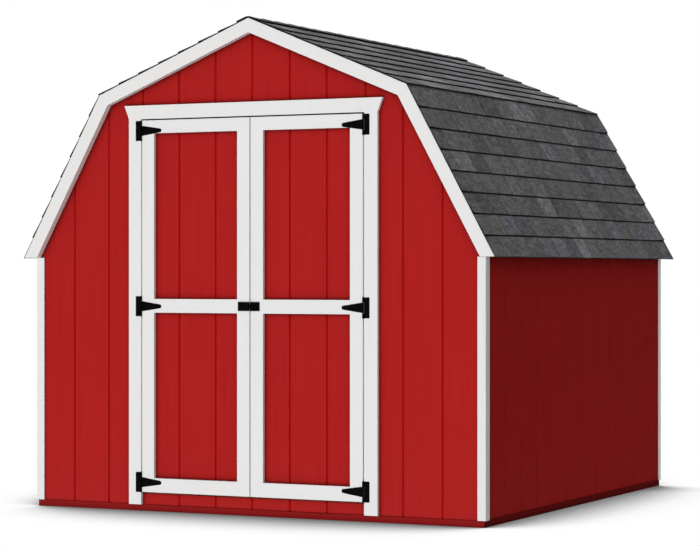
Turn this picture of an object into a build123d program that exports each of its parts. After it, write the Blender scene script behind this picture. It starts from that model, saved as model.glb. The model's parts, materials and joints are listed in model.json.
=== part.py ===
from build123d import *
import math
import os

os.makedirs("parts", exist_ok=True)

# ---------------------------------------------------------------------------
# Gambrel storage barn, about 8 ft x 8 ft.  Millimetres, +Z up, front to -Y.
# Origin: on the ground, in the middle of the plan.
# ---------------------------------------------------------------------------

# plan and wall heights
half_width = 1219.2        # outer face of the side siding
half_depth = 1232.0        # outer face of the end siding
siding_t = 12.0            # grooved panel siding
base_h = 32.0              # base board under the siding
base_w = 89.0
base_proud = 4.5           # base board stands out past the siding
joist_h = 57.0
joist_w = 38.0
deck_t = 12.0
deck_setback = 8.0         # deck edge behind the door panels
stud_w = 38.0
stud_d = 89.0
side_wall_top = 1250.0     # top of side siding
plate_top = 1254.0         # rafters bear here, eave is cut level here, corner boards end here

# roof section: outer line of the rake boards = top of the roof sheathing
eave_x, eave_z = 1288.5, 1254.0
knee_x, knee_z = 842.0, 2062.5
peak_z = 2410.5
sheath_t = 11.0
rafter_d = 89.0
shingle_t = 6.0
shingle_lap_eave = 6.0     # shingles past the eave tip, along the slope
shingle_lap_rake = 1.0     # shingles past the rake boards
cap_w = 61.0               # ridge cap, each side
cap_t = 4.0
rake_w = 65.0
rake_t = 38.1
joint_gap = 1.0            # hairline where rake boards meet

# trim
trim_t = 19.05             # casing, header trim and door frame boards
corner_t = 12.7            # corner boards on the side walls
corner_end_t = 8.0         # corner boards on the end walls
corner_w = 40.6
corner_end_w = 42.5
casing_in = 612.6
casing_out = 683.0
head_bottom = 1938.0
head_top = 2006.0
head_flare = 25.6

# doors
pin_x = 609.6
pin_front = 4.0            # hinge pin in front of the trim face
door_edge = 606.6          # hinge edge of the door
door_meet = 3.05           # half of the gap between the doors
panel_meet = 5.05          # panels set back there, to pass as both doors turn
door_bottom = 95.0
door_top = 1931.0
stile_in = 538.5           # inner edge of the hinge stile
meet_in = 71.1             # inner edge of the meeting stile
top_rail = 1866.7
mid_rail_lo, mid_rail_hi = 981.7, 1049.3
low_rail = 164.6
sill_top = 88.0            # siding strip under the doors

# ironwork
hinge_z = (143.3, 1012.9, 1879.8)
leaf_h = 99.2
leaf_out = 641.9
leaf_t = 2.5
knuckle_r = 4.0
strap_root = 51.0
strap_tip = 19.8
strap_end = 495.7
latch_z = 1015.3
latch_h = 43.9
latch_left, latch_right = 63.9, 53.8
latch_gap = 2.6
latch_t = 6.0

# derived levels
joist_top = base_h + joist_h
deck_top = joist_top + deck_t
sole_top = deck_top + stud_w
frame_x = half_width - siding_t
frame_y = half_depth - siding_t
inner_x = frame_x - stud_d
inner_y = frame_y - stud_d
trim_face = half_depth + trim_t
pin_y = -(trim_face + pin_front)
jamb_x = casing_in + 1.4
truss_y = (-(frame_y - stud_w), -610.0 + stud_w / 2, stud_w / 2, 610.0 + stud_w / 2, frame_y)

# unit vectors of the two roof slopes (right half), running down the slope
_u = math.hypot(knee_x, peak_z - knee_z)
up_x, up_z = knee_x / _u, (knee_z - peak_z) / _u
_l = math.hypot(eave_x - knee_x, knee_z - eave_z)
lo_x, lo_z = (eave_x - knee_x) / _l, (eave_z - knee_z) / _l


def upper_z(x, d):
    """height of the upper slope's line, d below the outer line, at x"""
    return peak_z + up_z / up_x * x - d / up_x


def lower_z(x, d):
    """height of the lower slope's line, d below the outer line, at x"""
    return knee_z + lo_z / lo_x * (x - knee_x) - d / lo_x


def lower_x(z, d):
    return knee_x + (z + d / lo_x - knee_z) * lo_x / lo_z


def knee_pt(d):
    """where the two slopes' lines meet, d below the outer line"""
    a, b = peak_z - d / up_x, up_z / up_x
    c, e = knee_z - lo_z / lo_x * knee_x - d / lo_x, lo_z / lo_x
    x = (c - a) / (b - e)
    return (x, a + b * x)


def along(p, vx, vz, s):
    return (p[0] + vx * s, p[1] + vz * s)


def flip(points):
    return [(-x, z) for x, z in points]


def lower_strip(d0, d1, end_z=eave_z, top_gap=0.0):
    """four corners of a lower-slope member between depths d0 and d1"""
    return [
        (lower_x(end_z, d0), end_z),
        along(knee_pt(d0), lo_x, lo_z, top_gap),
        along(knee_pt(d1), lo_x, lo_z, top_gap),
        (lower_x(end_z, d1), end_z),
    ]


def upper_strip(d0, d1, ridge_gap=0.0):
    """four corners of an upper-slope member between depths d0 and d1"""
    return [
        knee_pt(d0),
        (ridge_gap, upper_z(ridge_gap, d0)),
        (ridge_gap, upper_z(ridge_gap, d1)),
        knee_pt(d1),
    ]


def wall_plane(y):
    """upright plane at y: local x = X, local y = Z, normal towards -Y"""
    return Plane.XZ.offset(-y)


# ---------------------------------------------------------------------------
# floor
# ---------------------------------------------------------------------------

end_y = half_depth + base_proud - base_w / 2
side_x = half_width + base_proud - base_w / 2

with BuildPart() as base_end_boards:
    with BuildSketch(Plane.XY):
        with Locations((0, -end_y), (0, end_y)):
            Rectangle(2 * (half_width + base_proud), base_w)
    extrude(amount=base_h)
base_end_boards.part.label = "base_end_boards"
export_step(base_end_boards.part, "parts/base_end_boards.step")

with BuildPart() as base_side_boards:
    with BuildSketch(Plane.XY):
        with Locations((-side_x, 0), (side_x, 0)):
            Rectangle(base_w, 2 * (half_depth + base_proud - base_w))
    extrude(amount=base_h)
base_side_boards.part.label = "base_side_boards"
export_step(base_side_boards.part, "parts/base_side_boards.step")

with BuildPart() as floor_rims:
    with BuildSketch(Plane.XY.offset(base_h)):
        with Locations((0, -(frame_y - joist_w / 2)), (0, frame_y - joist_w / 2)):
            Rectangle(2 * frame_x, joist_w)
    extrude(amount=joist_h)
floor_rims.part.label = "floor_rims"
export_step(floor_rims.part, "parts/floor_rims.step")

with BuildPart() as floor_joists:
    with BuildSketch(Plane.XY.offset(base_h)):
        with GridLocations((2 * frame_x - joist_w) / 6, 0, 7, 1):
            Rectangle(joist_w, 2 * (frame_y - joist_w))
    extrude(amount=joist_h)
floor_joists.part.label = "floor_joists"
export_step(floor_joists.part, "parts/floor_joists.step")

with BuildPart() as floor_deck:
    with BuildSketch(Plane.XY.offset(joist_top)):
        with Locations((0, deck_setback / 2)):
            Rectangle(2 * frame_x, 2 * frame_y - deck_setback)
    extrude(amount=deck_t)
floor_deck.part.label = "floor_deck"
export_step(floor_deck.part, "parts/floor_deck.step")

# ---------------------------------------------------------------------------
# wall framing
# ---------------------------------------------------------------------------

with BuildPart() as side_sole_plates:
    with BuildSketch(Plane.XY.offset(deck_top)):
        with Locations((-(inner_x + stud_d / 2), 0), (inner_x + stud_d / 2, 0)):
            Rectangle(stud_d, 2 * frame_y)
    extrude(amount=stud_w)
side_sole_plates.part.label = "side_sole_plates"
export_step(side_sole_plates.part, "parts/side_sole_plates.step")

with BuildPart() as side_top_plates:
    with BuildSketch(Plane.XY.offset(plate_top - stud_w)):
        with Locations((-(inner_x + stud_d / 2), 0), (inner_x + stud_d / 2, 0)):
            Rectangle(stud_d, 2 * frame_y)
    extrude(amount=stud_w)
side_top_plates.part.label = "side_top_plates"
export_step(side_top_plates.part, "parts/side_top_plates.step")

with BuildPart() as side_studs:
    with BuildSketch(Plane.XY.offset(sole_top)):
        with GridLocations(2 * (inner_x + stud_d / 2), (2 * frame_y - stud_w) / 4, 2, 5):
            Rectangle(stud_d, stud_w)
    extrude(amount=plate_top - stud_w - sole_top)
side_studs.part.label = "side_studs"
export_step(side_studs.part, "parts/side_studs.step")

sole_half = (inner_x - jamb_x) / 2
with BuildPart() as end_sole_plates:
    with BuildSketch(Plane.XY.offset(deck_top)):
        with Locations((0, inner_y + stud_d / 2)):
            Rectangle(2 * inner_x, stud_d)
        with Locations(
            (-(jamb_x + sole_half), -(inner_y + stud_d / 2)),
            (jamb_x + sole_half, -(inner_y + stud_d / 2)),
        ):
            Rectangle(2 * sole_half, stud_d)
    extrude(amount=stud_w)
end_sole_plates.part.label = "end_sole_plates"
export_step(end_sole_plates.part, "parts/end_sole_plates.step")

# posts beside the doorway and one stud in each front panel, cut square
# just under the end rafters
front_post_x = jamb_x + stud_w / 2
front_stud_x = 900.0
with BuildPart() as front_studs:
    with BuildSketch(Plane.XY.offset(sole_top)):
        with Locations(
            (-front_post_x, -(inner_y + stud_d / 2)),
            (front_post_x, -(inner_y + stud_d / 2)),
        ):
            Rectangle(stud_w, stud_d)
    extrude(amount=upper_z(front_post_x + stud_w / 2, sheath_t + rafter_d) - 3 - sole_top)
    with BuildSketch(Plane.XY.offset(sole_top)):
        with Locations(
            (-front_stud_x, -(inner_y + stud_d / 2)),
            (front_stud_x, -(inner_y + stud_d / 2)),
        ):
            Rectangle(stud_w, stud_d)
    extrude(amount=lower_z(front_stud_x + stud_w / 2, sheath_t + rafter_d) - 3 - sole_top)
front_studs.part.label = "front_studs"
export_step(front_studs.part, "parts/front_studs.step")

with BuildPart() as door_beam:
    with BuildSketch(wall_plane(-(frame_y - stud_w))):
        with Locations((0, head_bottom + 2 + stud_d / 2)):
            Rectangle(2 * jamb_x, stud_d)
    extrude(amount=stud_w)
door_beam.part.label = "door_beam"
export_step(door_beam.part, "parts/door_beam.step")

with BuildPart() as back_studs:
    with BuildSketch(Plane.XY.offset(sole_top)):
        with Locations((0, inner_y + stud_d / 2)):
            Rectangle(stud_w, stud_d)
    extrude(amount=2212.0 - sole_top)
    with BuildSketch(Plane.XY.offset(sole_top)):
        with Locations((-450, inner_y + stud_d / 2), (450, inner_y + stud_d / 2)):
            Rectangle(stud_w, stud_d)
    extrude(amount=upper_z(450 + stud_w / 2, sheath_t + rafter_d) - 3 - sole_top)
    with BuildSketch(Plane.XY.offset(sole_top)):
        with Locations((-front_stud_x, inner_y + stud_d / 2), (front_stud_x, inner_y + stud_d / 2)):
            Rectangle(stud_w, stud_d)
    extrude(amount=lower_z(front_stud_x + stud_w / 2, sheath_t + rafter_d) - 3 - sole_top)
back_studs.part.label = "back_studs"
export_step(back_studs.part, "parts/back_studs.step")

# ---------------------------------------------------------------------------
# roof framing: five trusses of two lower and two upper rafters each
# ---------------------------------------------------------------------------

deep = sheath_t + rafter_d

with BuildPart() as lower_rafters:
    for y in truss_y:
        with BuildSketch(wall_plane(y)):
            with BuildLine():
                Polyline(lower_strip(sheath_t, deep), close=True)
            make_face()
            with BuildLine():
                Polyline(flip(lower_strip(sheath_t, deep)), close=True)
            make_face()
        extrude(amount=stud_w)
lower_rafters.part.label = "lower_rafters"
export_step(lower_rafters.part, "parts/lower_rafters.step")

with BuildPart() as upper_rafters:
    for y in truss_y:
        with BuildSketch(wall_plane(y)):
            with BuildLine():
                Polyline(upper_strip(sheath_t, deep, joint_gap), close=True)
            make_face()
            with BuildLine():
                Polyline(flip(upper_strip(sheath_t, deep, joint_gap)), close=True)
            make_face()
        extrude(amount=stud_w)
upper_rafters.part.label = "upper_rafters"
export_step(upper_rafters.part, "parts/upper_rafters.step")

# plywood gussets over the knees and the peak, on the inward face of the end
# trusses and the front face of the others
gusset_t = 11.0
gusset_y = (truss_y[0] + gusset_t,) + tuple(y - stud_w for y in truss_y[1:])
knee_plate = [
    along(knee_pt(sheath_t), lo_x, lo_z, 160),
    knee_pt(sheath_t),
    along(knee_pt(sheath_t), -up_x, -up_z, 160),
    along(knee_pt(deep), -up_x, -up_z, 125),
    along(knee_pt(deep), lo_x, lo_z, 125),
]
peak_plate = [
    (-260, upper_z(260, sheath_t)),
    (0, upper_z(0, sheath_t)),
    (260, upper_z(260, sheath_t)),
    (205, upper_z(205, deep)),
    (-205, upper_z(205, deep)),
]

with BuildPart() as truss_gussets:
    for y in gusset_y:
        with BuildSketch(wall_plane(y)):
            with BuildLine():
                Polyline(knee_plate, close=True)
            make_face()
            with BuildLine():
                Polyline(flip(knee_plate), close=True)
            make_face()
            with BuildLine():
                Polyline(peak_plate, close=True)
            make_face()
        extrude(amount=gusset_t)
truss_gussets.part.label = "truss_gussets"
export_step(truss_gussets.part, "parts/truss_gussets.step")

# blocks on the side walls' top plates that close the eaves between the trusses
block_top = lower_z(frame_x, sheath_t) - 3.0
block_bays = [
    (a, b - stud_w) for a, b in zip(truss_y[:-1], truss_y[1:])
]
with BuildPart() as eave_blocks:
    with BuildSketch(Plane.XY.offset(plate_top)):
        for y0, y1 in block_bays:
            with Locations(
                (-(frame_x - stud_w / 2), (y0 + y1) / 2),
                (frame_x - stud_w / 2, (y0 + y1) / 2),
            ):
                Rectangle(stud_w, y1 - y0 - 2 * gusset_t - 2)
    extrude(amount=block_top - plate_top)
eave_blocks.part.label = "eave_blocks"
export_step(eave_blocks.part, "parts/eave_blocks.step")

# ---------------------------------------------------------------------------
# roof sheathing, one panel to each slope, and the shingle layer over it
# ---------------------------------------------------------------------------

with BuildPart() as sheathing_lower_left:
    with BuildSketch(wall_plane(half_depth)):
        with BuildLine():
            Polyline(flip(lower_strip(0, sheath_t)), close=True)
        make_face()
    extrude(amount=2 * half_depth)
sheathing_lower_left.part.label = "sheathing_lower_left"
export_step(sheathing_lower_left.part, "parts/sheathing_lower_left.step")

with BuildPart() as sheathing_lower_right:
    with BuildSketch(wall_plane(half_depth)):
        with BuildLine():
            Polyline(lower_strip(0, sheath_t), close=True)
        make_face()
    extrude(amount=2 * half_depth)
sheathing_lower_right.part.label = "sheathing_lower_right"
export_step(sheathing_lower_right.part, "parts/sheathing_lower_right.step")

with BuildPart() as sheathing_upper_left:
    with BuildSketch(wall_plane(half_depth)):
        with BuildLine():
            Polyline(flip(upper_strip(0, sheath_t)), close=True)
        make_face()
    extrude(amount=2 * half_depth)
sheathing_upper_left.part.label = "sheathing_upper_left"
export_step(sheathing_upper_left.part, "parts/sheathing_upper_left.step")

with BuildPart() as sheathing_upper_right:
    with BuildSketch(wall_plane(half_depth)):
        with BuildLine():
            Polyline(upper_strip(0, sheath_t), close=True)
        make_face()
    extrude(amount=2 * half_depth)
sheathing_upper_right.part.label = "sheathing_upper_right"
export_step(sheathing_upper_right.part, "parts/sheathing_upper_right.step")

shingle_y = half_depth + rake_t + shingle_lap_rake
drip = along((eave_x, eave_z), lo_x, lo_z, shingle_lap_eave)
lower_layer = [
    drip,
    knee_pt(0),
    knee_pt(-shingle_t),
    (drip[0] - lo_z * shingle_t, drip[1] + lo_x * shingle_t),
]
upper_layer = upper_strip(0, -shingle_t)

with BuildPart() as shingles_lower_left:
    with BuildSketch(wall_plane(shingle_y)):
        with BuildLine():
            Polyline(flip(lower_layer), close=True)
        make_face()
    extrude(amount=2 * shingle_y)
shingles_lower_left.part.label = "shingles_lower_left"
export_step(shingles_lower_left.part, "parts/shingles_lower_left.step")

with BuildPart() as shingles_lower_right:
    with BuildSketch(wall_plane(shingle_y)):
        with BuildLine():
            Polyline(lower_layer, close=True)
        make_face()
    extrude(amount=2 * shingle_y)
shingles_lower_right.part.label = "shingles_lower_right"
export_step(shingles_lower_right.part, "parts/shingles_lower_right.step")

with BuildPart() as shingles_upper_left:
    with BuildSketch(wall_plane(shingle_y)):
        with BuildLine():
            Polyline(flip(upper_layer), close=True)
        make_face()
    extrude(amount=2 * shingle_y)
shingles_upper_left.part.label = "shingles_upper_left"
export_step(shingles_upper_left.part, "parts/shingles_upper_left.step")

with BuildPart() as shingles_upper_right:
    with BuildSketch(wall_plane(shingle_y)):
        with BuildLine():
            Polyline(upper_layer, close=True)
        make_face()
    extrude(amount=2 * shingle_y)
shingles_upper_right.part.label = "shingles_upper_right"
export_step(shingles_upper_right.part, "parts/shingles_upper_right.step")

with BuildPart() as ridge_cap:
    with BuildSketch(wall_plane(shingle_y)):
        with BuildLine():
            Polyline(
                (-cap_w, upper_z(cap_w, -shingle_t)),
                (0, upper_z(0, -shingle_t)),
                (cap_w, upper_z(cap_w, -shingle_t)),
                (cap_w, upper_z(cap_w, -shingle_t - cap_t)),
                (0, upper_z(0, -shingle_t - cap_t)),
                (-cap_w, upper_z(cap_w, -shingle_t - cap_t)),
                close=True,
            )
        make_face()
    extrude(amount=2 * shingle_y)
ridge_cap.part.label = "ridge_cap"
export_step(ridge_cap.part, "parts/ridge_cap.step")

# ---------------------------------------------------------------------------
# siding
# ---------------------------------------------------------------------------

front_panel = [
    (casing_in, base_h),
    (half_width, base_h),
    (half_width, lower_z(half_width, sheath_t)),
    knee_pt(sheath_t),
    (casing_in, upper_z(casing_in, sheath_t)),
]
back_panel = [
    (-half_width, base_h),
    (half_width, base_h),
    (half_width, lower_z(half_width, sheath_t)),
    knee_pt(sheath_t),
    (0, upper_z(0, sheath_t)),
    (-knee_pt(sheath_t)[0], knee_pt(sheath_t)[1]),
    (-half_width, lower_z(half_width, sheath_t)),
]

with BuildPart() as front_siding_left:
    with BuildSketch(wall_plane(-frame_y)):
        with BuildLine():
            Polyline(flip(front_panel), close=True)
        make_face()
    extrude(amount=siding_t)
front_siding_left.part.label = "front_siding_left"
export_step(front_siding_left.part, "parts/front_siding_left.step")

with BuildPart() as front_siding_right:
    with BuildSketch(wall_plane(-frame_y)):
        with BuildLine():
            Polyline(front_panel, close=True)
        make_face()
    extrude(amount=siding_t)
front_siding_right.part.label = "front_siding_right"
export_step(front_siding_right.part, "parts/front_siding_right.step")

with BuildPart() as front_siding_gable:
    with BuildSketch(wall_plane(-frame_y)):
        with BuildLine():
            Polyline(
                (-casing_in, head_bottom),
                (casing_in, head_bottom),
                (casing_in, upper_z(casing_in, sheath_t)),
                (0, upper_z(0, sheath_t)),
                (-casing_in, upper_z(casing_in, sheath_t)),
                close=True,
            )
        make_face()
    extrude(amount=siding_t)
front_siding_gable.part.label = "front_siding_gable"
export_step(front_siding_gable.part, "parts/front_siding_gable.step")

with BuildPart() as front_siding_sill:
    with BuildSketch(wall_plane(-frame_y)):
        with Locations((0, (base_h + sill_top) / 2)):
            Rectangle(2 * casing_in, sill_top - base_h)
    extrude(amount=siding_t)
front_siding_sill.part.label = "front_siding_sill"
export_step(front_siding_sill.part, "parts/front_siding_sill.step")

with BuildPart() as back_siding:
    with BuildSketch(wall_plane(half_depth)):
        with BuildLine():
            Polyline(back_panel, close=True)
        make_face()
    extrude(amount=siding_t)
back_siding.part.label = "back_siding"
export_step(back_siding.part, "parts/back_siding.step")

with BuildPart() as left_siding:
    with BuildSketch(Plane.XY.offset(base_h)):
        with Locations((-(half_width - siding_t / 2), 0)):
            Rectangle(siding_t, 2 * frame_y)
    extrude(amount=side_wall_top - base_h)
left_siding.part.label = "left_siding"
export_step(left_siding.part, "parts/left_siding.step")

with BuildPart() as right_siding:
    with BuildSketch(Plane.XY.offset(base_h)):
        with Locations((half_width - siding_t / 2, 0)):
            Rectangle(siding_t, 2 * frame_y)
    extrude(amount=side_wall_top - base_h)
right_siding.part.label = "right_siding"
export_step(right_siding.part, "parts/right_siding.step")

# ---------------------------------------------------------------------------
# trim
# ---------------------------------------------------------------------------

corner_face_x = half_width + corner_t - corner_end_w / 2
with BuildPart() as corner_boards_end:
    with BuildSketch(Plane.XY.offset(base_h)):
        with GridLocations(2 * corner_face_x, 2 * (half_depth + corner_end_t / 2), 2, 2):
            Rectangle(corner_end_w, corner_end_t)
    extrude(amount=plate_top - base_h)
corner_boards_end.part.label = "corner_boards_end"
export_step(corner_boards_end.part, "parts/corner_boards_end.step")

# at the front the side walls have a board as well; at the back only the end
# wall's board shows, lapping past the side wall
corner_side_x = half_width + corner_t / 2
corner_side_y = -(half_depth - corner_w / 2)
with BuildPart() as corner_boards_side:
    with BuildSketch(Plane.XY.offset(base_h)):
        with Locations((-corner_side_x, corner_side_y), (corner_side_x, corner_side_y)):
            Rectangle(corner_t, corner_w)
    extrude(amount=plate_top - base_h)
corner_boards_side.part.label = "corner_boards_side"
export_step(corner_boards_side.part, "parts/corner_boards_side.step")

with BuildPart() as front_rake_boards:
    with BuildSketch(wall_plane(-half_depth)):
        for side in (lower_strip(0, rake_w, top_gap=joint_gap), upper_strip(0, rake_w, joint_gap)):
            with BuildLine():
                Polyline(side, close=True)
            make_face()
            with BuildLine():
                Polyline(flip(side), close=True)
            make_face()
    extrude(amount=rake_t)
front_rake_boards.part.label = "front_rake_boards"
export_step(front_rake_boards.part, "parts/front_rake_boards.step")

with BuildPart() as back_rake_boards:
    with BuildSketch(wall_plane(half_depth + rake_t)):
        for side in (lower_strip(0, rake_w, top_gap=joint_gap), upper_strip(0, rake_w, joint_gap)):
            with BuildLine():
                Polyline(side, close=True)
            make_face()
            with BuildLine():
                Polyline(flip(side), close=True)
            make_face()
    extrude(amount=rake_t)
back_rake_boards.part.label = "back_rake_boards"
export_step(back_rake_boards.part, "parts/back_rake_boards.step")

with BuildPart() as door_casings:
    with BuildSketch(wall_plane(-half_depth)):
        with Locations(
            (-(casing_in + casing_out) / 2, (base_h + head_bottom) / 2),
            ((casing_in + casing_out) / 2, (base_h + head_bottom) / 2),
        ):
            Rectangle(casing_out - casing_in, head_bottom - base_h)
    extrude(amount=trim_t)
door_casings.part.label = "door_casings"
export_step(door_casings.part, "parts/door_casings.step")

with BuildPart() as door_head_trim:
    with BuildSketch(wall_plane(-half_depth)):
        with BuildLine():
            Polyline(
                (-casing_out, head_bottom),
                (casing_out, head_bottom),
                (casing_out + head_flare, head_top),
                (-(casing_out + head_flare), head_top),
                close=True,
            )
        make_face()
    extrude(amount=trim_t)
door_head_trim.part.label = "door_head_trim"
export_step(door_head_trim.part, "parts/door_head_trim.step")

# ---------------------------------------------------------------------------
# doors: siding panel with a flat frame of boards on its face
# ---------------------------------------------------------------------------

panel_w = door_edge - panel_meet
panel_mid = (door_edge + panel_meet) / 2
door_h = door_top - door_bottom
door_cz = (door_top + door_bottom) / 2
rail_w = stile_in - meet_in
rail_mid = (stile_in + meet_in) / 2

with BuildPart() as left_door_panel:
    with BuildSketch(wall_plane(-frame_y)):
        with Locations((-panel_mid, door_cz)):
            Rectangle(panel_w, door_h)
    extrude(amount=siding_t)
left_door_panel.part.label = "left_door_panel"
export_step(left_door_panel.part, "parts/left_door_panel.step")

with BuildPart() as right_door_panel:
    with BuildSketch(wall_plane(-frame_y)):
        with Locations((panel_mid, door_cz)):
            Rectangle(panel_w, door_h)
    extrude(amount=siding_t)
right_door_panel.part.label = "right_door_panel"
export_step(right_door_panel.part, "parts/right_door_panel.step")

with BuildPart() as left_door_stiles:
    with BuildSketch(wall_plane(-half_depth)):
        with Locations((-(door_edge + stile_in) / 2, door_cz)):
            Rectangle(door_edge - stile_in, door_h)
        with Locations((-(meet_in + door_meet) / 2, door_cz)):
            Rectangle(meet_in - door_meet, door_h)
    extrude(amount=trim_t)
left_door_stiles.part.label = "left_door_stiles"
export_step(left_door_stiles.part, "parts/left_door_stiles.step")

with BuildPart() as right_door_stiles:
    with BuildSketch(wall_plane(-half_depth)):
        with Locations(((door_edge + stile_in) / 2, door_cz)):
            Rectangle(door_edge - stile_in, door_h)
        with Locations(((meet_in + door_meet) / 2, door_cz)):
            Rectangle(meet_in - door_meet, door_h)
    extrude(amount=trim_t)
right_door_stiles.part.label = "right_door_stiles"
export_step(right_door_stiles.part, "parts/right_door_stiles.step")

with BuildPart() as left_door_rails:
    with BuildSketch(wall_plane(-half_depth)):
        with Locations((-rail_mid, (door_bottom + low_rail) / 2)):
            Rectangle(rail_w, low_rail - door_bottom)
        with Locations((-rail_mid, (mid_rail_lo + mid_rail_hi) / 2)):
            Rectangle(rail_w, mid_rail_hi - mid_rail_lo)
        with Locations((-rail_mid, (top_rail + door_top) / 2)):
            Rectangle(rail_w, door_top - top_rail)
    extrude(amount=trim_t)
left_door_rails.part.label = "left_door_rails"
export_step(left_door_rails.part, "parts/left_door_rails.step")

with BuildPart() as right_door_rails:
    with BuildSketch(wall_plane(-half_depth)):
        with Locations((rail_mid, (door_bottom + low_rail) / 2)):
            Rectangle(rail_w, low_rail - door_bottom)
        with Locations((rail_mid, (mid_rail_lo + mid_rail_hi) / 2)):
            Rectangle(rail_w, mid_rail_hi - mid_rail_lo)
        with Locations((rail_mid, (top_rail + door_top) / 2)):
            Rectangle(rail_w, door_top - top_rail)
    extrude(amount=trim_t)
right_door_rails.part.label = "right_door_rails"
export_step(right_door_rails.part, "parts/right_door_rails.step")

# ---------------------------------------------------------------------------
# T-hinges: upright leaf on the casing with the outer knuckles, tapered strap
# on the door with the middle knuckle; all turn on the pin at pin_x, pin_y
# ---------------------------------------------------------------------------

knuckle_gap = 1.0
leaf_knuckle = (leaf_h - strap_root) / 2 - knuckle_gap
leaf_edge = pin_x + knuckle_r + 1.0
tip_r = strap_tip / 2

with BuildPart() as hinge_leaves:
    for s in (-1, 1):
        for z in hinge_z:
            with BuildSketch(wall_plane(-trim_face)):
                with Locations((s * (leaf_edge + leaf_out) / 2, z)):
                    Rectangle(leaf_out - leaf_edge, leaf_h)
                with Locations(
                    (s * (pin_x + leaf_edge) / 2, z + (leaf_h - leaf_knuckle) / 2),
                    (s * (pin_x + leaf_edge) / 2, z - (leaf_h - leaf_knuckle) / 2),
                ):
                    Rectangle(leaf_edge - pin_x, leaf_knuckle)
            extrude(amount=leaf_t)
            for z0 in (z - leaf_h / 2, z + leaf_h / 2 - leaf_knuckle):
                with BuildSketch(Plane.XY.offset(z0)):
                    with Locations((s * pin_x, pin_y)):
                        Circle(knuckle_r)
                extrude(amount=leaf_knuckle)
hinge_leaves.part.label = "hinge_leaves"
export_step(hinge_leaves.part, "parts/hinge_leaves.step")

with BuildPart() as left_door_straps:
    for z in hinge_z:
        with BuildSketch(wall_plane(-trim_face)):
            with BuildLine():
                Polyline(
                    (-(strap_end + tip_r), z + tip_r),
                    (-pin_x, z + strap_root / 2),
                    (-pin_x, z - strap_root / 2),
                    (-(strap_end + tip_r), z - tip_r),
                )
                ThreePointArc(
                    (-(strap_end + tip_r), z - tip_r),
                    (-strap_end, z),
                    (-(strap_end + tip_r), z + tip_r),
                )
            make_face()
        extrude(amount=leaf_t)
        with BuildSketch(Plane.XY.offset(z - strap_root / 2)):
            with Locations((-pin_x, pin_y)):
                Circle(knuckle_r)
        extrude(amount=strap_root)
left_door_straps.part.label = "left_door_straps"
export_step(left_door_straps.part, "parts/left_door_straps.step")

with BuildPart() as right_door_straps:
    for z in hinge_z:
        with BuildSketch(wall_plane(-trim_face)):
            with BuildLine():
                Polyline(
                    (strap_end + tip_r, z + tip_r),
                    (pin_x, z + strap_root / 2),
                    (pin_x, z - strap_root / 2),
                    (strap_end + tip_r, z - tip_r),
                )
                ThreePointArc(
                    (strap_end + tip_r, z - tip_r),
                    (strap_end, z),
                    (strap_end + tip_r, z + tip_r),
                )
            make_face()
        extrude(amount=leaf_t)
        with BuildSketch(Plane.XY.offset(z - strap_root / 2)):
            with Locations((pin_x, pin_y)):
                Circle(knuckle_r)
        extrude(amount=strap_root)
right_door_straps.part.label = "right_door_straps"
export_step(right_door_straps.part, "parts/right_door_straps.step")

# latch: plate on the left door, keeper plate on the right door
with BuildPart() as latch_plate:
    with BuildSketch(wall_plane(-trim_face)):
        with Locations((-(latch_left + latch_gap) / 2, latch_z)):
            Rectangle(latch_left - latch_gap, latch_h)
    extrude(amount=latch_t)
latch_plate.part.label = "latch_plate"
export_step(latch_plate.part, "parts/latch_plate.step")

with BuildPart() as latch_keeper:
    with BuildSketch(wall_plane(-trim_face)):
        with Locations(((latch_right + latch_gap) / 2, latch_z)):
            Rectangle(latch_right - latch_gap, latch_h)
    extrude(amount=latch_t)
latch_keeper.part.label = "latch_keeper"
export_step(latch_keeper.part, "parts/latch_keeper.step")
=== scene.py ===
import json
import math
import random

import bmesh
import bpy
import numpy as np
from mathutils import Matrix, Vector


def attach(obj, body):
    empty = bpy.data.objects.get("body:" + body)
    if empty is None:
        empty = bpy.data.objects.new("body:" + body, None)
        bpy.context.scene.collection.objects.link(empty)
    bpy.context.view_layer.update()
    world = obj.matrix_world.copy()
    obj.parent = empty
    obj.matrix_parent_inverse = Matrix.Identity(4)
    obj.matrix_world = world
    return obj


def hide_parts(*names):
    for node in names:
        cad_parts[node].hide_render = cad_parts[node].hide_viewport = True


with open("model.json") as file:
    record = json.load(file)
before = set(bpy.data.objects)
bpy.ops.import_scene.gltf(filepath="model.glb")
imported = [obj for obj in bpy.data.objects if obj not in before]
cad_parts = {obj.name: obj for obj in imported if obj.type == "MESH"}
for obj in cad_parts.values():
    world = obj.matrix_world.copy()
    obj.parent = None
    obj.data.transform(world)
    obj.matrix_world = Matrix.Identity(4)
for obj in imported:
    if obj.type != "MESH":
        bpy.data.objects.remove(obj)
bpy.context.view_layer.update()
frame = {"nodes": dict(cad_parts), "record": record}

NODES = frame["nodes"]
BODY = {}
for _body, _members in frame["record"]["behaviour"]["bodies"].items():
    for _n in _members:
        BODY[_n] = _body

# ---------------------------------------------------------------------------
# dimensions shared with the CAD part, in metres
# ---------------------------------------------------------------------------
EAVE = (1.2885, 1.2540)
KNEE = (0.8420, 2.0625)
PEAK_Z = 2.4105
SHINGLE_Y = 1.2711
TRIM_FACE = -1.25105
PIN_X, PIN_Y = 0.6096, -1.25505
HINGE_Z = (0.1433, 1.0129, 1.8798)
LEAF_H, LEAF_OUT, LEAF_T = 0.0992, 0.6419, 0.0025
KNUCKLE_R = 0.004
STRAP_ROOT, STRAP_TIP, STRAP_END = 0.051, 0.0198, 0.4957
LATCH_Z, LATCH_H = 1.0153, 0.0439
LATCH_L, LATCH_R, LATCH_GAP, LATCH_T = 0.0639, 0.0538, 0.0026, 0.0060
BOARD = 0.2032          # groove spacing of the siding


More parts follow.
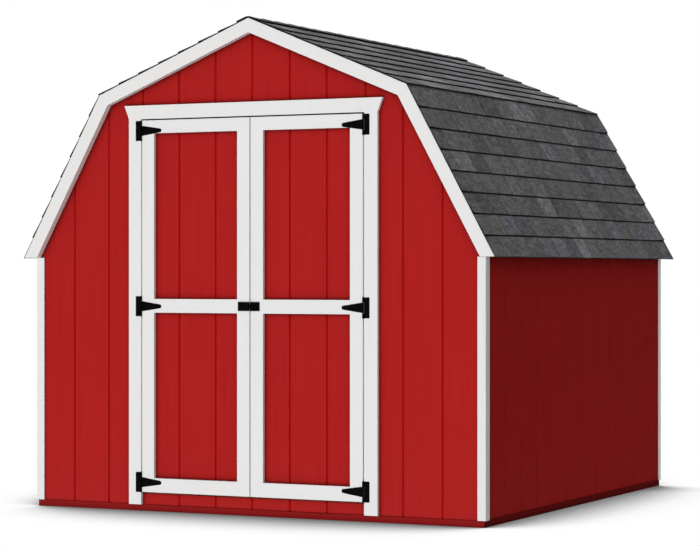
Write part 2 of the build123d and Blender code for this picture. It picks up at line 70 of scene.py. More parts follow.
# ---------------------------------------------------------------------------
# node helpers
# ---------------------------------------------------------------------------
def nd(nt, kind, ins=None, **props):
    n = nt.nodes.new(kind)
    for k, v in props.items():
        setattr(n, k, v)
    for k, v in (ins or {}).items():
        s = n.inputs[k]
        if isinstance(v, bpy.types.NodeSocket):
            nt.links.new(v, s)
        else:
            s.default_value = v
    return n


def material(name):
    m = bpy.data.materials.new(name)
    m.use_nodes = True
    return m, m.node_tree, m.node_tree.nodes["Principled BSDF"]


def attribute(nt, name, out="Vector"):
    return nd(nt, "ShaderNodeAttribute", attribute_name=name).outputs[out]


def scaled(nt, vec, scale, rot=(0, 0, 0)):
    return nd(nt, "ShaderNodeMapping", {"Vector": vec, "Scale": scale, "Rotation": rot}).outputs[0]


def noise(nt, vec, scale=1.0, detail=3.0, rough=0.55, dist=0.0):
    return nd(nt, "ShaderNodeTexNoise", {"Vector": vec, "Scale": scale, "Detail": detail,
                                         "Roughness": rough, "Distortion": dist}).outputs[0]


def ramp(nt, fac, stops):
    n = nd(nt, "ShaderNodeValToRGB", {"Fac": fac})
    e = n.color_ramp.elements
    while len(e) < len(stops):
        e.new(0.5)
    for k, (p, c) in zip(e, stops):
        k.position = p
        k.color = (*c, 1.0) if len(c) == 3 else c
    return n.outputs[0]


def grey(v):
    return (v, v, v)


def mix(nt, fac, a, b, blend="MIX"):
    n = nt.nodes.new("ShaderNodeMix")
    n.data_type = "RGBA"
    n.blend_type = blend
    for i, v in ((0, fac), (6, a), (7, b)):
        s = n.inputs[i]
        if isinstance(v, bpy.types.NodeSocket):
            nt.links.new(v, s)
        elif i == 0:
            s.default_value = v
        else:
            s.default_value = (*v, 1.0)
    return n.outputs[2]


def span(nt, v, lo, hi, a=0.0, b=1.0):
    return nd(nt, "ShaderNodeMapRange", {"Value": v, "From Min": a, "From Max": b,
                                         "To Min": lo, "To Max": hi}).outputs[0]


def math_node(nt, op, a, b):
    return nd(nt, "ShaderNodeMath", {0: a, 1: b}, operation=op).outputs[0]


def bump(nt, height, strength, distance, normal=None):
    ins = {"Height": height, "Strength": strength, "Distance": distance}
    if normal is not None:
        ins["Normal"] = normal
    return nd(nt, "ShaderNodeBump", ins).outputs[0]


# ---------------------------------------------------------------------------
# materials: each reads the piece's own "grain" vector (along, across, through
# the board, in metres) and its "tone" colour
# ---------------------------------------------------------------------------
def paint(name, light, deep, rough, spec, relief, streak, mottle=0.25, grime=0.06, corner=None, foot=None):
    """corner is how dark the painted shade is, from ambient occlusion, in creases where the paint meets other pieces
    and under the eaves;
    foot is painted shade too, scaling the colour from darker at the ground to lighter at the top of the base boards"""
    m, nt, b = material(name)
    g = attribute(nt, "grain")
    tone = attribute(nt, "tone", "Color")
    broad = noise(nt, scaled(nt, g, (streak[0], streak[1], streak[1])), 1.0, 5.0, 0.6, 0.3)
    fibre = noise(nt, scaled(nt, g, (streak[0] * 5, streak[1] * 7, streak[1] * 7)), 1.0, 3.0, 0.6)
    cloud = noise(nt, g, 2.3, 3.0, 0.55)
    col = ramp(nt, broad, [(0.30, deep), (0.66, light)])
    col = mix(nt, mottle, col, ramp(nt, cloud, [(0.3, grey(0.80)), (0.7, grey(1.0))]), "MULTIPLY")
    co = nd(nt, "ShaderNodeTexCoord").outputs["Object"]
    z = nd(nt, "ShaderNodeSeparateXYZ", {0: co}).outputs[2]
    low = nd(nt, "ShaderNodeMapRange", {"Value": z, "From Min": 0.03, "From Max": 0.34,
                                        "To Min": grime, "To Max": 0.0}).outputs[0]
    low = math_node(nt, "MULTIPLY", low, span(nt, cloud, 0.4, 1.6))
    col = mix(nt, low, col, (0.12, 0.09, 0.07))
    col = mix(nt, 1.0, col, tone, "MULTIPLY")
    # painted shade: darker at the ground, lighter at the top of the base boards
    if foot is not None:
        col = nd(nt, "ShaderNodeVectorMath", {0: col, "Scale": span(nt, z, foot[0], foot[1], 0.004, 0.031)},
                 operation="SCALE").outputs[0]
    if corner is not None:
        # painted shade from ambient occlusion: a wide soft part, which also darkens the walls under the eaves, and a
        # narrow one close to the trim
        for reach, least, a, c in ((0.35, corner, 0.40, 0.97), (0.03, corner + 0.20, 0.52, 0.82)):
            near = nd(nt, "ShaderNodeAmbientOcclusion", {"Distance": reach}, samples=6).outputs["AO"]
            col = nd(nt, "ShaderNodeVectorMath", {0: col, "Scale": span(nt, near, least, 1.0, a, c)},
                     operation="SCALE").outputs[0]
    nt.links.new(col, b.inputs["Base Color"])
    nt.links.new(span(nt, broad, rough[0], rough[1]), b.inputs["Roughness"])
    b.inputs["Specular IOR Level"].default_value = spec
    h = math_node(nt, "ADD", broad, span(nt, fibre, 0.0, 0.45))
    nt.links.new(bump(nt, h, relief, 0.0012), b.inputs["Normal"])
    return m


def lumber(name, light, dark, knot):
    m, nt, b = material(name)
    g = attribute(nt, "grain")
    tone = attribute(nt, "tone", "Color")
    warp = noise(nt, scaled(nt, g, (1.2, 7, 7)), 1.0, 2.0, 0.5)
    rings = nd(nt, "ShaderNodeTexWave", {
        "Vector": scaled(nt, g, (0.55, 9.0, 9.0)), "Scale": 2.2, "Distortion": 4.5, "Detail": 2.0,
        "Detail Scale": 1.1, "Detail Roughness": 0.55}, wave_type="RINGS", rings_direction="X").outputs[1]
    fibre = noise(nt, scaled(nt, g, (9, 330, 330)), 1.0, 3.0, 0.6)
    col = ramp(nt, rings, [(0.05, light), (0.62, light), (0.97, dark)])
    col = mix(nt, 0.45, col, ramp(nt, warp, [(0.3, dark), (0.65, light)]))
    col = mix(nt, 0.35, col, ramp(nt, fibre, [(0.3, grey(0.72)), (0.7, grey(1.0))]), "MULTIPLY")
    dots = nd(nt, "ShaderNodeTexVoronoi", {"Vector": scaled(nt, g, (2.1, 10, 10)), "Scale": 1.0,
                                           "Randomness": 1.0}, feature="F1").outputs["Distance"]
    spot = ramp(nt, dots, [(0.07, grey(1.0)), (0.15, grey(0.0))])
    col = mix(nt, spot, col, knot)
    col = mix(nt, 1.0, col, tone, "MULTIPLY")
    nt.links.new(col, b.inputs["Base Color"])
    nt.links.new(span(nt, fibre, 0.62, 0.85), b.inputs["Roughness"])
    b.inputs["Specular IOR Level"].default_value = 0.2
    h = math_node(nt, "ADD", fibre, span(nt, rings, 0.0, 0.4))
    nt.links.new(bump(nt, h, 0.22, 0.0008), b.inputs["Normal"])
    return m


def strand_board(name):
    m, nt, b = material(name)
    g = attribute(nt, "grain")
    tone = attribute(nt, "tone", "Color")
    wob = nd(nt, "ShaderNodeVectorMath", {0: g, 1: scaled(nt, nd(
        nt, "ShaderNodeTexNoise", {"Vector": g, "Scale": 9.0, "Detail": 1.0}).outputs[1], (0.03, 0.03, 0.0))},
        operation="ADD").outputs[0]
    col = None
    relief = None
    for k, ang in enumerate((0.12, 1.05, -0.82, 1.9)):
        v = nd(nt, "ShaderNodeTexVoronoi", {
            "Vector": scaled(nt, wob, (10.0, 62.0, 1.0), (0, 0, ang)), "Scale": 1.0, "Randomness": 1.0},
            feature="F1", voronoi_dimensions="2D")
        val = nd(nt, "ShaderNodeSeparateColor", {0: v.outputs["Color"]})
        strand = ramp(nt, val.outputs[0], [(0.0, (0.30, 0.17, 0.075)), (0.35, (0.46, 0.29, 0.14)),
                                           (0.75, (0.60, 0.42, 0.22)), (1.0, (0.72, 0.54, 0.31))])
        if col is None:
            col, relief = strand, val.outputs[1]
        else:
            pick = span(nt, val.outputs[2], 0.0, 1.0, 0.52, 0.56)
            col = mix(nt, pick, col, strand)
            relief = mix(nt, pick, relief, val.outputs[1])
    fibre = noise(nt, scaled(nt, g, (60, 420, 420)), 1.0, 2.0, 0.6)
    col = mix(nt, 0.35, col, ramp(nt, fibre, [(0.3, grey(0.7)), (0.7, grey(1.0))]), "MULTIPLY")
    col = mix(nt, 1.0, col, tone, "MULTIPLY")
    nt.links.new(col, b.inputs["Base Color"])
    nt.links.new(span(nt, fibre, 0.55, 0.8), b.inputs["Roughness"])
    b.inputs["Specular IOR Level"].default_value = 0.2
    nt.links.new(bump(nt, relief, 0.3, 0.0008), b.inputs["Normal"])
    return m


def veneer(name, light, dark):
    m, nt, b = material(name)
    g = attribute(nt, "grain")
    tone = attribute(nt, "tone", "Color")
    warp = noise(nt, scaled(nt, g, (0.9, 5.5, 5.5)), 1.0, 3.0, 0.5, 0.8)
    band = nd(nt, "ShaderNodeTexWave", {
        "Vector": scaled(nt, g, (0.35, 3.6, 3.6)), "Scale": 2.0, "Distortion": 7.5, "Detail": 3.0,
        "Detail Scale": 0.8, "Detail Roughness": 0.6}, wave_type="BANDS", bands_direction="Y").outputs[1]
    fibre = noise(nt, scaled(nt, g, (11, 300, 300)), 1.0, 3.0, 0.6)
    col = ramp(nt, band, [(0.1, light), (0.7, light), (1.0, dark)])
    col = mix(nt, 0.5, col, ramp(nt, warp, [(0.3, dark), (0.7, light)]))
    col = mix(nt, 0.4, col, ramp(nt, fibre, [(0.3, grey(0.74)), (0.7, grey(1.0))]), "MULTIPLY")
    col = mix(nt, 1.0, col, tone, "MULTIPLY")
    nt.links.new(col, b.inputs["Base Color"])
    nt.links.new(span(nt, fibre, 0.6, 0.85), b.inputs["Roughness"])
    b.inputs["Specular IOR Level"].default_value = 0.2
    nt.links.new(bump(nt, fibre, 0.2, 0.0007), b.inputs["Normal"])
    return m


def asphalt(name):
    m, nt, b = material(name)
    g = attribute(nt, "grain")
    tone = attribute(nt, "tone", "Color")
    speck = noise(nt, scaled(nt, g, (1.0, 0.5, 1.0)), 130.0, 4.0, 0.8)
    patch = noise(nt, scaled(nt, g, (1.0, 0.36, 1.0)), 42.0, 3.0, 0.65)
    drip = noise(nt, scaled(nt, g, (5.0, 75.0, 5.0)), 1.0, 3.0, 0.6)
    grit = nd(nt, "ShaderNodeTexVoronoi", {"Vector": g, "Scale": 520.0, "Randomness": 1.0},
              feature="F1")
    def times(c, f, lo, hi, a, z):
        return nd(nt, "ShaderNodeVectorMath", {0: c, "Scale": span(nt, f, lo, hi, a, z)}, operation="SCALE").outputs[0]

    col = times(tone, speck, 0.26, 1.74, 0.30, 0.70)
    col = times(col, patch, 0.56, 1.44, 0.28, 0.72)
    col = times(col, drip, 0.96, 1.04, 0.28, 0.72)
    nt.links.new(col, b.inputs["Base Color"])
    nt.links.new(span(nt, speck, 0.82, 0.98), b.inputs["Roughness"])
    b.inputs["Specular IOR Level"].default_value = 0.12
    fine = bump(nt, grit.outputs["Distance"], 0.35, 0.0012)
    nt.links.new(bump(nt, speck, 0.35, 0.0016, fine), b.inputs["Normal"])
    return m


def coated_iron(name):
    m, nt, b = material(name)
    g = attribute(nt, "grain")
    tone = attribute(nt, "tone", "Color")
    peel = noise(nt, g, 700.0, 2.0, 0.5)
    wear = noise(nt, g, 60.0, 4.0, 0.65)
    col = ramp(nt, wear, [(0.35, (0.0008, 0.0008, 0.0009)), (0.72, (0.0022, 0.0021, 0.0020))])
    col = mix(nt, 1.0, col, tone, "MULTIPLY")
    nt.links.new(col, b.inputs["Base Color"])
    nt.links.new(span(nt, wear, 0.34, 0.52), b.inputs["Roughness"])
    b.inputs["Specular IOR Level"].default_value = 0.025
    nt.links.new(bump(nt, peel, 0.12, 0.0004), b.inputs["Normal"])
    return m


# the last number of RED and BASE_RED is corner, the painted shade in creases and under the eaves; BASE_RED's last pair
# is foot, painted shade up its boards
RED = paint("red_paint", (0.446, 0.0172, 0.0162), (0.406, 0.0150, 0.0142), (0.55, 0.72), 0.004, 0.26,
            (1.9, 62.0), 0.16, 0.03, 0.42)
BASE_RED = paint("base_red_paint", (0.250, 0.0120, 0.0122), (0.206, 0.0096, 0.0100), (0.55, 0.75), 0.004, 0.30,
                 (2.6, 80.0), 0.30, 0.0, 0.6, (0.80, 1.28))
WHITE = paint("white_paint", (0.822, 0.815, 0.810), (0.796, 0.788, 0.782), (0.38, 0.52), 0.20, 0.14,
              (1.8, 60.0), 0.05, 0.02)
PINE = lumber("pine", (0.66, 0.46, 0.26), (0.44, 0.26, 0.12), (0.13, 0.06, 0.025))
STRAND = strand_board("strand_board")
PLY = veneer("plywood_face", (0.62, 0.44, 0.25), (0.43, 0.27, 0.13))
BACK = veneer("siding_back", (0.55, 0.40, 0.24), (0.38, 0.25, 0.13))
ASPHALT = asphalt("asphalt_shingle")
IRON = coated_iron("black_coated_iron")


# ---------------------------------------------------------------------------
# mesh helpers
# ---------------------------------------------------------------------------
def dress(ob, mats, grain, tones):
    """materials, the grain vector of each vertex and the tone of each face"""
    me = ob.data
    for m in mats:
        me.materials.append(m)
    grain = np.asarray(grain, np.float32)
    a = me.attributes.new("grain", "FLOAT_VECTOR", "POINT" if len(grain) == len(me.vertices) else "CORNER")
    a.data.foreach_set("vector", grain.ravel())
    t = me.attributes.new("tone", "FLOAT_COLOR", "CORNER")
    counts = np.zeros(len(me.polygons), np.int32)
    me.polygons.foreach_get("loop_total", counts)
    rgba = np.ones((len(me.polygons), 4), np.float32)
    rgba[:, :3] = np.asarray(tones, np.float32)
    t.data.foreach_set("color", np.repeat(rgba, counts, axis=0).ravel())


def place(ob, nodes, slot):
    nodes = [nodes] if isinstance(nodes, str) else list(nodes)
    bpy.context.scene.collection.objects.link(ob)
    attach(ob, BODY[nodes[0]])
    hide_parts(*nodes)
    return ob


class Build:
    """gathers the faces of one piece"""

    def __init__(self):
        self.v, self.f, self.g, self.t, self.m, self.s = [], [], [], [], [], []

    def add(self, verts, faces, grain=None, tone=(1, 1, 1), mat=0, smooth=False):
        """tone, mat and smooth are one value, or a list with one for each face"""
        o = len(self.v)
        self.v += [tuple(p) for p in verts]
        self.g += [tuple(p) for p in (grain if grain is not None else verts)]
        for i, f in enumerate(faces):
            self.f.append([o + k for k in f])
            self.t.append(tone[i] if isinstance(tone, list) else tone)
            self.m.append(mat[i] if isinstance(mat, list) else mat)
            self.s.append(smooth[i] if isinstance(smooth, list) else smooth)

    def piece(self, name, mats, node, slot):
        me = bpy.data.meshes.new(name)
        me.from_pydata(self.v, [], self.f)
        me.polygons.foreach_set("material_index", np.array(self.m, np.int32))
        me.polygons.foreach_set("use_smooth", np.array(self.s, bool))
        bm = bmesh.new()
        bm.from_mesh(me)
        bmesh.ops.recalc_face_normals(bm, faces=bm.faces)
        bm.to_mesh(me)
        bm.free()
        me.update()
        ob = bpy.data.objects.new(name, me)
        dress(ob, mats, self.g, self.t)
        return place(ob, node, slot)


def plan(points):
    """outline points, turned to run counter-clockwise"""
    a = sum(p[0] * q[1] - q[0] * p[1] for p, q in zip(points, points[1:] + points[:1]))
    return points if a > 0 else points[::-1]


def inset(points, d):
    """outline moved inwards by d"""
    out = []
    n = len(points)
    for i in range(n):
        p0, p1, p2 = Vector(points[i - 1]), Vector(points[i]), Vector(points[(i + 1) % n])
        a, c = (p1 - p0).normalized(), (p2 - p1).normalized()
        na, nc = Vector((-a.y, a.x)), Vector((-c.y, c.x))
        b = na + nc
        b = b / max(b.length_squared / 2, 0.2)
        out.append(tuple(p1 + b * d))
    return out


def plate(B, outline, y_back, y_front, chamfer, tone=(1, 1, 1)):
    """upright plate with eased front edges, its outline in (x, z)"""
    o = plan([tuple(p) for p in outline])
    rings = [(o, y_back), (o, y_front + chamfer), (inset(o, chamfer * 0.45), y_front + chamfer * 0.3),
             (inset(o, chamfer), y_front)]
    n = len(o)
    verts = [(x, y, z) for pts, y in rings for x, z in pts]
    faces, smooth = [list(range(n))], [False]
    for r in range(len(rings) - 1):
        for i in range(n):
            j = (i + 1) % n
            faces.append([r * n + i, r * n + j, (r + 1) * n + j, (r + 1) * n + i])
            smooth.append(r > 0)
    k = (len(rings) - 1) * n
    faces.append([k + i for i in range(n)])
    smooth.append(False)
    B.add(verts, faces, tone=tone, smooth=smooth)


def round_rect(x0, x1, z0, z1, r, steps=5):
    pts = []
    for cx, cz, a0 in ((x1 - r, z1 - r, 0), (x0 + r, z1 - r, 90), (x0 + r, z0 + r, 180), (x1 - r, z0 + r, 270)):
        for k in range(steps + 1):
            a = math.radians(a0 + 90 * k / steps)
            pts.append((cx + r * math.cos(a), cz + r * math.sin(a)))
    return pts


def lathe(B, centre, axis, profile, segs=20, tone=(1, 1, 1), smooth=True):
    """turned shape: profile is (radius, distance along axis), open at neither end"""
    c, ax = Vector(centre), Vector(axis).normalized()
    u = ax.orthogonal().normalized()
    w = ax.cross(u)
    verts, faces = [], []
    rows = []
    for r, t in profile:
        if r < 1e-7:
            rows.append([len(verts)])
            verts.append(tuple(c + ax * t))
        else:
            rows.append(list(range(len(verts), len(verts) + segs)))
            for k in range(segs):
                a = 2 * math.pi * k / segs
                verts.append(tuple(c + ax * t + (u * math.cos(a) + w * math.sin(a)) * r))
    for p, q in zip(rows, rows[1:]):
        for k in range(segs):
            j = (k + 1) % segs
            if len(p) == 1 and len(q) == 1:
                continue
            if len(p) == 1:
                faces.append([p[0], q[k], q[j]])
            elif len(q) == 1:
                faces.append([p[k], p[j], q[0]])
            else:
                faces.append([p[k], p[j], q[j], q[k]])
    B.add(verts, faces, tone=tone, smooth=smooth)


def screw(B, x, y, z, r=0.0038, h=0.0013):
    lathe(B, (x, y, z), (0, -1, 0), [(0, -0.0008), (r, -0.0008), (r, 0.0002), (r * 0.93, h * 0.45), (r * 0.68, h * 0.9),
                                     (r * 0.36, h), (r * 0.28, h * 0.45), (0, h * 0.35)], 18, tone=(1.3, 1.3, 1.3))


def islands(me):
    """groups of connected vertices"""
    n = len(me.vertices)
    root = np.arange(n)

    def find(i):
        while root[i] != i:
            root[i] = root[root[i]]
            i = root[i]
        return i

    for e in me.edges:
        a, b = find(e.vertices[0]), find(e.vertices[1])
        if a != b:
            root[a] = b
    return np.array([find(i) for i in range(n)])


def grain_of(me, seed, axis=None):
    """grain vectors that run along each separate board's longest edge"""
    rng = random.Random(seed)
    co = np.array([v.co for v in me.vertices], float).reshape(-1, 3)
    group = islands(me)
    best = {}
    for e in me.edges:
        a, b = e.vertices
        d = co[b] - co[a]
        k = group[a]
        ln = float(np.linalg.norm(d))
        if k not in best or ln > best[k][0] + 1e-6:
            best[k] = (ln, d / max(ln, 1e-9))
    grain = np.zeros_like(co)
    boards = sorted(best, key=lambda k: tuple(np.round(co[group == k].mean(0), 4)))
    tone = {}
    for k in boards:
        sel = group == k
        a = np.array(axis, float) if axis is not None else best[k][1]
        if a[np.argmax(np.abs(a))] < 0:
            a = -a
        ref = np.array((0.0, 1.0, 0.0)) if abs(a[1]) < 0.9 else np.array((1.0, 0.0, 0.0))
        c = ref - a * ref.dot(a)
        c /= np.linalg.norm(c)
        b = np.cross(c, a)
        off = np.array([rng.uniform(0, 9) for _ in range(3)])
        p = co[sel] - co[sel].mean(0)
        grain[sel] = np.stack([p @ a, p @ b, p @ c], 1) + off
        tone[k] = rng.uniform(-1, 1)
    return grain, np.array([tone[group[me.polygons[i].vertices[0]]] for i in range(len(me.polygons))])


def boards(node, mat, slot, ease=0.002, segs=2, seed=1, spread=0.05, edge_tone=0.94, axis=None, heads=None, level=1.0,
           inner=None, ends=1.0):
    """the CAD boards of one node with eased edges; inner is the bare wood of the faces that don't face outwards,
    ends the level of the faces that face sideways, a painted shade"""
    bm = bmesh.new()
    bm.from_mesh(NODES[node].data)
    bmesh.ops.remove_doubles(bm, verts=bm.verts, dist=1e-5)
    bmesh.ops.dissolve_limit(bm, angle_limit=0.02, verts=bm.verts, edges=bm.edges, use_dissolve_boundaries=False)
    sharp = [e for e in bm.edges if len(e.link_faces) == 2 and e.calc_face_angle(0.0) > 0.35]
    made = bmesh.ops.bevel(bm, geom=sharp, offset=ease, offset_type="OFFSET", segments=segs, profile=0.5,
                           affect="EDGES", clamp_overlap=True)
    eased = {f for f in made["faces"] if f.is_valid}
    for f in bm.faces:
        f.smooth = f in eased
    bm.faces.ensure_lookup_table()
    bm.faces.index_update()
    flags = np.array([f in eased for f in bm.faces])
    me = bpy.data.meshes.new(node + "_made")
    bm.to_mesh(me)
    bm.free()
    ob = bpy.data.objects.new(node + "_made", me)
    grain, shade = grain_of(me, seed, axis)
    k = level * (1.0 + spread * shade)
    k = np.where(flags, k * edge_tone, k)
    # painted shade on the faces that face sideways
    k = np.where([abs(p.normal.x) > 0.6 for p in me.polygons], k * ends, k)
    if heads:
        grain, k = add_heads(me, grain, k, heads)
    dress(ob, [mat], grain, np.repeat(k[:, None], 3, axis=1))
    if inner is not None:
        me.materials.append(inner)
        for p in me.polygons:
            p.material_index = 0 if p.normal.x * p.center.x > 0.3 * abs(p.center.x) else 1
    return place(ob, node, slot)


def add_heads(me, grain, k, heads):
    """nail heads, set in the paint: heads are (point, outward normal)"""
    B = Build()
    for p, n in heads:
        r = 0.0034
        lathe(B, p, n, [(0, -0.001), (r, -0.001), (r, 0.00005), (r * 0.8, 0.0004), (0, 0.0005)], 12)
    bm = bmesh.new()
    bm.from_mesh(me)
    first = len(bm.verts)
    vs = [bm.verts.new(p) for p in B.v]
    bm.verts.index_update()
    for f in B.f:
        face = bm.faces.new([vs[i] for i in f])
        face.smooth = True
    new = [f for f in bm.faces if f.verts[0].index >= first]
    bmesh.ops.recalc_face_normals(bm, faces=new)
    bm.to_mesh(me)
    bm.free()
    grain = np.vstack([grain, np.array(B.g, float)])
    k = np.concatenate([k, np.full(len(B.f), 0.97)])
    return grain, k


# ---------------------------------------------------------------------------
# grooved siding
# ---------------------------------------------------------------------------
def siding(node, along, outward, grooves, seed, groove_shade):
    """panel with the CAD node's outline and square-bottomed grooves cut in its outer face, half a groove at an
    edge where two panels meet; along is 0 for a panel across X, 1 for one along Y; outward is the sign of the
    outer face; the last argument is the tone of the grooves, painted shade where darker than the face and painted light
    where lighter"""
    rng = random.Random(seed)
    through = 1 - along
    co = np.array([v.co for v in NODES[node].data.vertices], float).reshape(-1, 3)
    lo, hi = co.min(0), co.max(0)
    face = hi[through] if outward > 0 else lo[through]
    back = lo[through] if outward > 0 else hi[through]
    z0 = lo[2]
    tops = {}
    for p in co:
        s = round(float(p[along]), 5)
        if s not in tops or p[2] > tops[s]:
            tops[s] = float(p[2])
    ss = sorted(tops)
    zz = [tops[s] for s in ss]
    width, side, depth = 0.0112, 0.0020, 0.0028
    cuts = []
    for gx in grooves:
        if ss[0] + 0.008 < gx < ss[-1] - 0.008:
            cuts += [(gx - width / 2, 0.0, 0), (gx - width / 2 + side, depth, 1),
                     (gx + width / 2 - side, depth, 1), (gx + width / 2, 0.0, 1)]
    inner = [(s, 0.0, 0) for s in ss[1:-1]
             if not any(abs(s - gx) < width / 2 + 0.001 for gx in grooves)]
    head, tail = [(ss[0], 0.0, 0)], [(ss[-1], 0.0, 0)]
    if any(abs(ss[0] - gx) < 0.002 for gx in grooves):
        head = [(ss[0], depth, 0), (ss[0] + width / 2 - side, depth, 1), (ss[0] + width / 2, 0.0, 1)]
    if any(abs(ss[-1] - gx) < 0.002 for gx in grooves):
        tail = [(ss[-1] - width / 2, 0.0, 0), (ss[-1] - width / 2 + side, depth, 1), (ss[-1], depth, 1)]
    marks = head + sorted(cuts + inner) + tail

    def at(s, t, z):
        q = [0.0, 0.0, z]
        q[along] = s
        q[through] = face - outward * t
        return q

    thick = abs(face - back)
    B = Build()
    verts, grain = [], []
    off = [rng.uniform(0, 9) for _ in range(3)]
    for s, d, _ in marks:
        zt = float(np.interp(s, ss, zz))
        ring = [(d, z0), (d, zt), (thick, zt), (thick, z0)]
        for t, z in ring:
            verts.append(at(s, t, z))
            grain.append((z + off[0], s + off[1], t + off[2]))
    faces, tone, mat = [], [], []
    last = len(marks) - 1
    n = len(ring)
    for i in range(last):
        a, b = i * n, (i + 1) * n
        cut = marks[i + 1][2] == 1 and (marks[i][1] > 0 or marks[i + 1][1] > 0)
        for j in range(n):
            k = (j + 1) % n
            faces.append([a + j, b + j, b + k, a + k])
            # the groove faces take the groove tone, painted shade on the end panels and painted light on the side
            # panels
            tone.append(groove_shade if cut and j == 0 else grey(1.0))
            mat.append(1 if j == 2 else 0)
    faces += [list(range(n)), [last * n + j for j in range(n)][::-1]]
    tone += [grey(1.0)] * 2
    mat += [0, 0]
    B.add(verts, faces, grain, tone, mat)
    return B.piece(node + "_made", [RED, BACK], node, "red_siding")


end_grid = [k * BOARD for k in range(-6, 7)]
side_grid = [-0.980 + k * BOARD for k in range(-1, 11)]
door_grid = [-0.4039, -0.1992, 0.2087, 0.4084]
JOIN = 0.6126           # the front panels meet in line with the door casings
# painted shade in the grooves of the end panels, darker and redder than the face; the side panels below get painted
# light, lighter grooves
for i, (n, grid) in enumerate((
        ("front_siding_left", [-1.0100, -0.8086, -JOIN]), ("front_siding_right", [JOIN, 0.8085, 1.0113]),
        ("front_siding_gable", [-JOIN, -0.4056, -0.2005, 0.0033, 0.2086, 0.4060, JOIN]),
        ("front_siding_sill", door_grid + [0.0033]), ("left_door_panel", door_grid), ("right_door_panel", door_grid))):
    siding(n, 0, -1, grid, 11 + i, (1.05, 0.36, 0.36))
siding("back_siding", 0, 1, end_grid, 21, (1.05, 0.36, 0.36))
siding("left_siding", 1, -1, side_grid, 22, (1.18, 1.12, 1.12))
siding("right_siding", 1, 1, side_grid, 23, (1.18, 1.12, 1.12))


# ---------------------------------------------------------------------------
# shingles
# ---------------------------------------------------------------------------
LOWER_LEN = math.hypot(EAVE[0] - KNEE[0], KNEE[1] - EAVE[1])
UPPER_LEN = math.hypot(KNEE[0], PEAK_Z - KNEE[1])
CAP_W = {True: 0.0555, False: 0.0680}       # ridge cap, right and left of the ridge
# lower edges of the courses, up the slope from the eave and from the knee
LOWER_COURSES = [-0.0035] + [0.1147 * k - 0.001 for k in range(1, 8)]
UPPER_COURSES = [-0.0045] + [0.1221 * k + 0.002 for k in range(1, 7)]
UPPER_THICK = (0.0080, 0.0098, 0.0099, 0.0100, 0.0100, 0.0098, 0.0098)


def slope(right, upper):
    """point on a roof slope from (distance up the slope, y, height over the sheathing)"""
    sx = 1.0 if right else -1.0
    o = KNEE if upper else EAVE
    ln = UPPER_LEN if upper else LOWER_LEN
    top = (0.0, PEAK_Z) if upper else KNEE
    ex, ez = (top[0] - o[0]) / ln, (top[1] - o[1]) / ln
    nx, nz = ez, -ex
    return lambda s, y, h: (sx * (o[0] + ex * s + nx * h), y, o[1] + ez * s + nz * h)


def tab_colour(rng):
    k = rng.random()
    if k < 0.54:
        v = rng.uniform(0.073, 0.088)
        c = (v * 0.99, v, v * 1.045)
    elif k < 0.68:
        v = rng.uniform(0.101, 0.128)
        c = (v * 0.99, v, v * 1.045)
    elif k < 0.82:
        v = rng.uniform(0.057, 0.069)
        c = (v * 0.99, v, v * 1.055)
    elif k < 0.91:
        v = rng.uniform(0.074, 0.093)
        c = (v * 1.01, v, v * 0.965)
    else:
        v = rng.uniform(0.076, 0.099)
        c = (v * 0.985, v, v * 1.11)
    return c


def strip(B, at, y0, y1, line0, line1, tones, off):
    """one piece of roofing: line0 and line1 are its section at its two ends, (s, h) points round the section"""
    n = len(line0)
    verts = [at(s, y0, h) for s, h in line0] + [at(s, y1, h) for s, h in line1]
    grain = [(s + off[0], y0 + off[1], h + off[2]) for s, h in line0] + \
            [(s + off[0], y1 + off[1], h + off[2]) for s, h in line1]
    faces = [[i, (i + 1) % n, n + (i + 1) % n, n + i] for i in range(n)]
    faces += [list(range(n))[::-1], list(range(n, 2 * n))]
    B.add(verts, faces, grain, [tuple(t) for t in tones])


